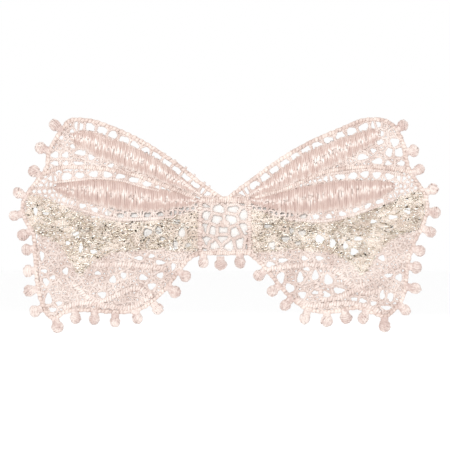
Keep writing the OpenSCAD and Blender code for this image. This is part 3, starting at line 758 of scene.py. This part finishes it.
def make_wing(w):
    """All the thread runs of one wing, from its rim down to the picots."""
    mirror = 1 if w == LEFT else -1     # turns the left wing's sides and slants into the right one's
    rim = curve(EDGE[w] + [(0, 0)], closed=True, step=0.5)
    upper = curve(UPPER_LEAF[w], closed=True, step=0.5)
    lower = curve(LOWER_LEAF[w], closed=True, step=0.5)
    band = np.array(BAND[w], float)
    vein_line = VEIN[w] + [(0, 6)]
    box = ((-50, -24), (0, 26)) if w == LEFT else ((0, -24), (50, 26))

    def build(threads, part, slot, material, made="threads"):
        return threads.build(f"{w}_{part}_{made}", [f"{w}_{part}"], slot, material)

    def inside_rim(p):
        return np.minimum(depth_inside(rim, p) - CORD_W, -knot_depth(p))

    # The cord round the wing lies on the rim, half its width inside it
    threads = Threads()
    threads.wrapped_cord(offset(curve(EDGE[w], step=0.2), mirror * CORD_W / 2), CORD_W + 0.1, CORD_T,
                         pitch=0.85, knots=0.2, r=0.26)
    build(threads, "edge_cord", "cord_thread", CORD)

    # The last number is the painted shade on each leaf's stitch flanks; the lower leaf's is darker
    for part, outline, tilt, depth in (("upper_leaf", UPPER_LEAF[w], 0.14, 0.33),
                                       ("lower_leaf", LOWER_LEAF[w], 0.05, 0.2)):
        threads = Threads()
        satin(threads, outline, mirror * tilt, LEAF_T, depth=depth)
        leaf = build(threads, part, "satin_thread", SATIN, "stitches")

    threads = Threads()
    threads.wrapped_cord(curve(VEIN[w], step=0.2), 1.15, CORD_T, knots=0.12)
    build(threads, "vein_cord", "cord_thread", CORD)

    def upper_area(p):
        return np.minimum.reduce([inside_rim(p), above(vein_line, p) - 0.4, -depth_inside(upper, p),
                                  -depth_inside(lower, p)])

    threads = Threads()
    openings = ladder(threads, TOP_LADDER[w], TOP_COUNT, (2.4, 2.3), 2, -1.4, 0.8)
    double_net(threads, openings + CORNER_OPENINGS[w], upper_area, box, 1.6)
    build(threads, "upper_net", "net_thread", NET)

    def middle_area(p):
        return np.minimum.reduce([inside_rim(p), -above(vein_line, p) - 0.4, above(LEAF_LINE[w], p),
                                  -depth_inside(upper, p), -depth_inside(lower, p)])

    # Its cord lies below the openings on the left and above them on the right
    threads = Threads()
    openings = ladder(threads, MIDDLE_LADDER[w], MIDDLE_COUNT[w], (2.1, 1.5), 1.2, -1.0 * mirror, 0.75)
    net(threads, openings, middle_area, box, 1.2)
    build(threads, "middle_ladder", "net_thread", NET)

    def lower_ladder_area(p):
        return np.minimum.reduce([inside_rim(p), -above(LEAF_LINE[w], p), above(BAND_LINE[w], p),
                                  -depth_inside(lower, p), -depth_inside(band, p)])

    threads = Threads()
    openings = ladder(threads, LOWER_LADDER[w], LOWER_COUNT, (1.6, 1.1), 0.9, -0.95 * mirror, 0.9)
    net(threads, openings, lower_ladder_area, box, 1.15)
    build(threads, "lower_ladder", "net_thread", NET)

    def band_area(p):
        return np.minimum.reduce([inside_rim(p), depth_inside(band, p), -depth_inside(lower, p)])

    threads = Threads()
    net(threads, BAND_OPENINGS[w], band_area, box, 1.5, y=0.05, spread=0.17, r=0.17)
    net(threads, BAND_OPENINGS[w], band_area, box, 0.85, y=0.2, margin=0.25, spread=0.15, r=0.17)
    threads.build(w + "_band_net_threads", [w + "_metallic_band"], "net_thread", BAND_NET)
    threads = Threads()
    foil(threads, BAND_OPENINGS[w], band_area, band)
    threads.build(w + "_metallic_filaments", [w + "_metallic_band"], "metallic_thread", LUREX)

    def net_area(p):
        return np.minimum.reduce([inside_rim(p), -above(BAND_LINE[w], p), -depth_inside(band, p)])

    threads = Threads()
    double_net(threads, NET_OPENINGS[w], net_area, box, 1.6)
    for cord in NET_CORDS[w]:
        line = push_out(curve(cord, step=0.2), NET_OPENINGS[w], 0.5)
        threads.wrapped_cord(line, 1.3, 0.7, 0.6, y=-0.25, knots=0.3)
    build(threads, "lower_net", "net_thread", NET)

    threads = Threads()
    for root, outwards in picot_roots(w):
        picot(threads, root + outwards * (PICOT_OUT + random.uniform(-0.2, 0.4)), root)
    build(threads, "picots", "picot_thread", BOBBLE, "wound")


FILAMENTS = 340                 # in one wing's band
FOIL_R, FOIL_HALF_W = 0.035, 0.14   # half the thickness and half the width of a flat filament
FOIL_Y = 0.42                   # how far it lies in front of or behind the band's middle


def foil(threads, openings, allowed, band):
    """Fine flat metallic filaments that criss-cross the band, three in four of them on its front."""
    low, high = band.min(0), band.max(0)
    made = 0
    while made < FILAMENTS:
        start = random.uniform(low, high)
        heading = random.normal(0, 0.5) + random.choice([0, math.pi])
        length = random.uniform(1.5, 5)
        steps = np.linspace(0, 1, 16)[:, None]
        bend = heading + random.uniform(-0.9, 0.9)
        line = start + steps * length * (math.cos(heading), math.sin(heading))
        line = line + steps**2 * np.array([math.cos(bend), math.sin(bend)]) * random.uniform(-1, 1)
        inside = allowed(line) > -0.1
        if inside.sum() < 5 or not inside[len(inside) // 2]:
            continue
        made += 1
        first, last = np.flatnonzero(inside)[[0, -1]]
        line = push_out(line[first:last + 1], openings, 0.15)
        layer = random.choice([-1, -1, -1, 1]) * (FOIL_Y + wander(np.arange(len(line)) * 0.3, 0.12))
        roll = random.uniform(0, TAU) + np.linspace(0, random.uniform(-7, 7), len(line))
        up = upright(normals(line) * np.cos(roll)[:, None], np.sin(roll))
        threads.sweep(upright(line, layer), up, FOIL_R, FOIL_HALF_W, 4)


# ---- Lace: the knot ----

STITCH_ROWS = (-4, -1.3, 1.4, 4.1)      # where the knot is tacked down, along z


def make_knot():
    """The knot's frame, its open net with a dense centre, its picots and the stitches that hold it."""
    threads = Threads()
    x, top, bottom = KNOT_X - 0.55, KNOT_TOP - 0.55, KNOT_BOTTOM + 0.55
    sides = [[(s * x, bottom - 0.4), (s * (x + 0.1), 0), (s * x, top + 0.4)] for s in (-1, 1)]
    ends = [[(-x, z), (0, z + lift), (x, z)] for z, lift in ((top + 0.3, 0.1), (bottom, -0.1))]
    for line, width in zip(sides + ends, (1.1, 1.1, 1.7, 1.2)):
        threads.wrapped_cord(curve(line, step=0.2), width, CORD_T, knots=0.1)
    threads.build("knot_frame_threads", ["knot_frame"], "cord_thread", CORD)

    threads = Threads()
    net(threads, KNOT_OPENINGS, lambda p: knot_depth(p) - 1, ((-10, -11), (10, 10)), 2,
        border=4, ply=3, spread=0.28, r=0.22)
    satin(threads, [(-1.2, 0.5), (-0.2, 1.3), (0.9, 0.5), (-0.2, -0.3)], 0.2, 1.3)
    threads.build("knot_net_threads", ["knot_net"], "net_thread", NET)

    threads = Threads()
    for place in KNOT_PICOTS:
        picot(threads, np.array(place, float), np.array((place[0], KNOT_BOTTOM), float))
    threads.build("knot_picots_wound", ["knot_picots"], "picot_thread", BOBBLE)

    # Each tacking stitch crosses a side cord of the knot, from the felt on one side to the other
    threads = Threads()
    turn = np.linspace(-0.62 * math.pi, 0.62 * math.pi, 18)
    for s in (-1, 1):
        for z in STITCH_ROWS:
            for shift in (-0.15, 0.15):
                slant = random.uniform(-0.3, 0.3)
                path = np.stack([s * x + 0.72 * np.sin(turn), 0.05 - 0.78 * np.cos(turn),
                                 z + shift + slant * np.sin(turn)], axis=1)
                out = np.stack([np.sin(turn), -np.cos(turn), np.zeros(len(turn))], axis=1)
                threads.sweep(path, out, 0.15, 0.17, 6)
    threads.build("tacking_stitches_sewn", ["tacking_stitches"], "stitch_thread", STITCH)


# ---- Felt and ribbon ----

# The felt's half sizes, front and thickness; the clip's top plate; the ribbon
FELT_X, FELT_Z, FELT_FRONT, FELT_T = 12.0, 5.6, -4.3, 0.8
FELT_CORNER = 2
FELT_FUZZ = 420         # stray fibres
PLATE_TIP, PLATE_END, PLATE_FRONT, PLATE_BACK = -27.0, 19.0, -3.2, -2.6
RIBBON_T, RIBBON_W = 0.3, 10.0
RIBBON_INNER_END = 5.6


def cloth_material(name, colour, streak, roughness, scale, bump, sheen=0.4):
    material, tree, shader = node_material(name, roughness, Sheen_Weight=sheen, Sheen_Roughness=0.35)
    place = object_place(tree, streak)
    drift = noise_of(tree, place, scale, 3)
    shade = tuple(0.92 * c for c in colour)
    colour_by(tree, shader, drift, [(0.3, shade), (0.7, colour)])
    bump_from(tree, shader, drift, bump, 0.00008)
    return material


FELT = cloth_material("white_felt", (0.96, 0.95, 0.93), (1, 1, 1), 0.95, 2600, 0.9)
RIBBON = cloth_material("white_ribbon", (0.95, 0.94, 0.92), (0.06, 1, 1), 0.32, 4200, 0.7, 0.2)


def rounded_outline(half_x, half_z, r):
    per_corner = 10
    points = []
    for sx, sz, begin in ((1, 1, 0), (-1, 1, 1), (-1, -1, 2), (1, -1, 3)):
        for k in range(per_corner):
            a = (begin + k / (per_corner - 1)) * math.pi / 2
            points.append((sx * (half_x - r) + r * math.cos(a), sz * (half_z - r) + r * math.sin(a)))
    return np.array(points)


def make_felt():
    """A pressed felt pad, thinner at its cut edge, with stray fibres."""
    rim = even(rounded_outline(FELT_X, FELT_Z, FELT_CORNER), 0.4, closed=True)
    rim += normals(rim) * random.uniform(-0.05, 0.05, (len(rim), 1))
    # Rings from the rim to the middle, and the share of the thickness that each one has
    rings = [1.0, 0.99, 0.96, 0.88, 0.76, 0.62, 0.46, 0.3, 0.14]
    edge = [0.72, 0.88, 0.97, 1, 1, 1, 1, 1, 1]
    pressed = 0.03
    middle = FELT_FRONT + FELT_T / 2
    n = len(rim)
    verts, faces = [], []
    for face in (-1, 1):
        for share, thick in zip(rings, edge):
            ring = rim * share
            lumps = 0.03 * np.sin(1.9 * ring[:, 0]) * np.sin(2.3 * ring[:, 1])
            lumps += random.uniform(-0.02, 0.02, n)
            verts.append(upright(ring, middle + face * (FELT_T / 2 * thick - pressed + lumps)))
        verts.append([[0, middle + face * (FELT_T / 2 - pressed), 0]])
    half = len(rings) * n + 1
    for side, way in ((0, 1), (half, -1)):
        starts = [side + i * n for i in range(len(rings))]
        for a, b in zip(starts, starts[1:]):
            faces += [[a + j, a + (j + 1) % n, b + (j + 1) % n, b + j][::way] for j in range(n)]
        faces += [[starts[-1] + j, starts[-1] + (j + 1) % n, side + half - 1][::way] for j in range(n)]
    faces += [[(j + 1) % n, j, half + j, half + (j + 1) % n] for j in range(n)]
    # The stray fibres are swept onto the same mesh
    threads = Threads()
    threads.verts, threads.faces, threads.count = [np.vstack(verts)], faces, 2 * half
    for _ in range(FELT_FUZZ):
        i = random.randint(n)
        start = np.array([rim[i, 0], middle + random.uniform(-0.3, 0.3), rim[i, 1]])
        away = random.normal(0, 1, 3) + start * (0.12, 0, 0.25)
        away /= np.linalg.norm(away)
        bend = random.normal(0, 0.35, 3)
        t = np.linspace(0, 1, 5)[:, None]
        fibre = start * (0.985, 1, 0.97) + t * away * random.uniform(0.3, 0.8) + t**2 * bend
        threads.sweep(fibre, (0.3, 1, 0.2), 0.018, 0.018, 3)
    felt = built("felt_pad_pressed", np.vstack(threads.verts), threads.faces, ["felt_pad"],
                 FELT)


def make_ribbon():
    """A satin ribbon laid along the front of the top plate, round its tip and back inside the mouth."""
    front, back = PLATE_FRONT - RIBBON_T / 2, PLATE_BACK + RIBBON_T / 2
    middle, r = (front + back) / 2, (back - front) / 2
    turn = np.linspace(math.pi / 2, -math.pi / 2, 16)
    tip_x = PLATE_TIP + 0.15
    path = np.vstack([
        [[x, front] for x in np.linspace(PLATE_END, tip_x, 120)[:-1]],
        np.stack([tip_x - r * np.cos(turn), middle - r * np.sin(turn)], axis=1),
        [[x, back] for x in np.linspace(tip_x, RIBBON_INNER_END, 90)[1:]]])
    s = arc_length(path)
    side = normals(path)
    # Across its width, with close rows at the woven edges, which are thicker than the cloth between them
    selvedge = np.array([0.93, 0.96, 0.985, 1])
    across = np.concatenate([-selvedge[::-1], np.linspace(-0.88, 0.88, 15), selvedge])
    bead = np.where(np.abs(across) > 0.94, 1.0, 0.72)
    bead[[0, -1]] = 0.5
    verts, n, m = [], len(path), len(across)
    for face in (-1, 1):
        for u, thick in zip(across, bead):
            sway = 0.05 * np.sin(s * 0.9 + u) * (1 if abs(u) > 0.9 else 0)
            rise = 0.015 * np.sin(s * 2.1 + 5 * u)
            flat = path + side * (face * RIBBON_T / 2 * thick * 0.95 + rise)[:, None]
            verts.append(np.column_stack([flat, u * (RIBBON_W / 2) + sway]))
    verts = np.vstack(verts)
    starts = [row * n for row in [*range(m), *range(2 * m - 1, m - 1, -1)]]
    faces = [[a + i, b + i, b + i + 1, a + i + 1] for a, b in zip(starts, starts[1:] + starts[:1])
             for i in range(n - 1)]
    other = m * n       # from a point on one face to the same point on the other
    for a, b in zip(starts[:m - 1], starts[1:m]):
        faces.append([a, other + a, other + b, b])
        a, b = a + n - 1, b + n - 1
        faces.append([a, b, other + b, other + a])
    ribbon = built("ribbon_lining_woven", verts, faces, ["ribbon_lining"], RIBBON)


# ---- Clip ----

HINGE_X, HINGE_Y = 9.0, 0.0
WIRE_R, COIL_R, COIL_HALF = 0.3, 1.35, 2.0
COIL_TURNS = 7.25
LEG_REACH = 8.0         # from the hinge to the end of a leg
LEVER_Y = 5.0           # how far behind the hinge the second leg ends, under the thumb lever


def make_spring():
    """A wound torsion spring, built at rest; in the clip its coil twists as the jaw opens. Its first leg
    lies on the top plate, and its second under the thumb lever."""
    plate_leg = (LEG_REACH, PLATE_BACK + RIBBON_T + WIRE_R + 0.02)
    lever_leg = (LEG_REACH, LEVER_Y)

    def leave(end, way):
        """The angle at which the wire leaves the coil for the end of a leg."""
        reach = math.hypot(*end)
        return math.atan2(end[1], end[0]) + way * math.acos(COIL_R / reach)

    first = leave(plate_leg, -1)
    last = leave(lever_leg, 1)
    while last > first - TAU * (COIL_TURNS - 0.5):
        last -= TAU
    angle = np.linspace(first, last, 240)
    coil = np.stack([HINGE_X + COIL_R * np.cos(angle), HINGE_Y + COIL_R * np.sin(angle),
                     np.linspace(-COIL_HALF, COIL_HALF, len(angle))], axis=1)

    def leg(end, z):
        start = coil[0] if z < 0 else coil[-1]
        stop = np.array([HINGE_X + end[0], HINGE_Y + end[1], z])
        return start + np.linspace(0, 1, 26)[:, None] * (stop - start)

    path = np.vstack([leg(plate_leg, -COIL_HALF)[::-1][:-1], coil, leg(lever_leg, COIL_HALF)[1:]])
    threads = Threads()
    threads.sweep(path, (0.02, 0.03, 1), WIRE_R, WIRE_R, 12)
    spring = built("torsion_spring_wound", np.vstack(threads.verts), threads.faces, ["torsion_spring"],
                   SPRING, body=None)
    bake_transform(spring)


def steel_material(name, dark, light, roughness):
    """Plated steel with brushed marks along the clip and a slightly uneven plating."""
    material, tree, shader = node_material(name, roughness, Metallic=1.0)
    marks = noise_of(tree, object_place(tree, (0.04, 0.08, 1)), 2600, 3)
    uneven = math_of(tree, "SUBTRACT", noise_of(tree, object_place(tree), 260, 6), 0.5)
    plating = math_of(tree, "ADD", marks, uneven)
    colour_by(tree, shader, plating, [(0.3, dark), (0.7, light)])
    polish = add_node(tree, "MapRange", "Result", Value=marks, To_Min=roughness - 0.12,
                      To_Max=roughness + 0.22)
    tree.links.new(polish, shader.inputs["Roughness"])
    bump_from(tree, shader, marks, 0.4, 0.00003)
    return material


PLATED = steel_material("clip_steel", (0.37, 0.36, 0.35), (0.52, 0.51, 0.50), 0.28)
PIN = steel_material("pin_steel", (0.44, 0.43, 0.42), (0.58, 0.57, 0.55), 0.32)
SPRING = steel_material("spring_steel", (0.34, 0.34, 0.35), (0.48, 0.48, 0.48), 0.3)

WELD = 0.002                # points closer than this become one
SHARP = math.radians(35)    # edges that turn by more than this are rolled


def finish_steel():
    """The stamped parts keep their CAD solids, with rolled edges and plated finishes."""
    for node, material, bevel in (("upper_jaw", PLATED, 0.12), ("lower_jaw", PLATED, 0.12),
                                  ("hinge_pin", PIN, 0.1)):
        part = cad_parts[node]
        part.data.materials.clear()
        part.data.materials.append(material)
        part.data.polygons.foreach_set("use_smooth", [True] * len(part.data.polygons))
        weld = part.modifiers.new("weld", "WELD")
        weld.merge_threshold = WELD * MM
        rolled = part.modifiers.new("rolled_edges", "BEVEL")
        rolled.width = bevel * MM
        rolled.segments = 3
        rolled.limit_method = "ANGLE"
        rolled.angle_limit = SHARP
        rolled.harden_normals = True


# ---- Build ----

add_camera()
add_stage()
make_wing(LEFT)
make_wing(RIGHT)
make_knot()
make_felt()
make_ribbon()
make_spring()
finish_steel()
